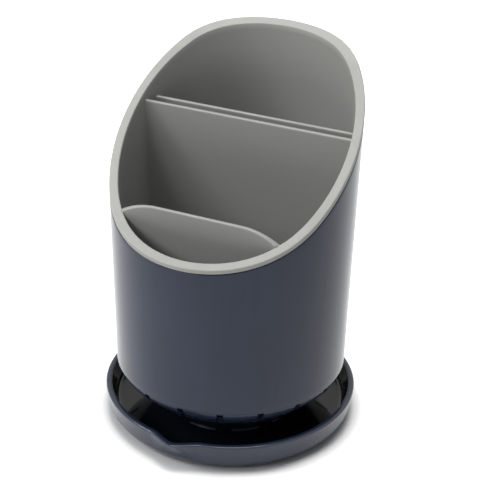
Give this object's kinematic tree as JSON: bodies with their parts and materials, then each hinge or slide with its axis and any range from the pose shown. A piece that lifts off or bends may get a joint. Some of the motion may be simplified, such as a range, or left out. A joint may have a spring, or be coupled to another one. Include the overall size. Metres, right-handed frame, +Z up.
{
  "type": "cutlery drainer",
  "caption": "Round cutlery drainer: a sloping-rim caddy with knife slot and front pocket lifts out of a dark sleeve whose slotted funnel stands in a drip tray with a pouring lip.",
  "frame": {"origin": "on the table under the drainer's axis, midway between the non-slip pads", "axes": "+Z up along the drainer's axis, -Y to the low front of the rim and the tray's pouring lip, +X to the right seen from the front"},
  "size_m": [0.1262, 0.1311, 0.1873],
  "materials": {
    "tray_plastic": "smooth slate-blue moulding, glossy inside",
    "sleeve_plastic": "satin slate-blue moulding",
    "caddy_plastic": "fine matt warm grey moulding",
    "pad_rubber": "dull black non-slip rubber"
  },
  "bodies": {
    "tray": {"drip_tray": "tray_plastic", "foot_pad_front_right": "pad_rubber", "foot_pad_rear_right": "pad_rubber", "foot_pad_rear_left": "pad_rubber", "foot_pad_front_left": "pad_rubber"},
    "sleeve": {"outer_sleeve": "sleeve_plastic"},
    "caddy": {"inner_caddy": "caddy_plastic"}
  },
  "joints": [
    {"name": "sleeve_lift", "type": "slide", "parent": "tray", "child": "sleeve", "axis": [0, 0, 1], "range_m": [0, 0.08]},
    {"name": "caddy_lift", "type": "slide", "parent": "sleeve", "child": "caddy", "axis": [0, 0, 1], "range_m": [0, 0.17]}
  ]
}
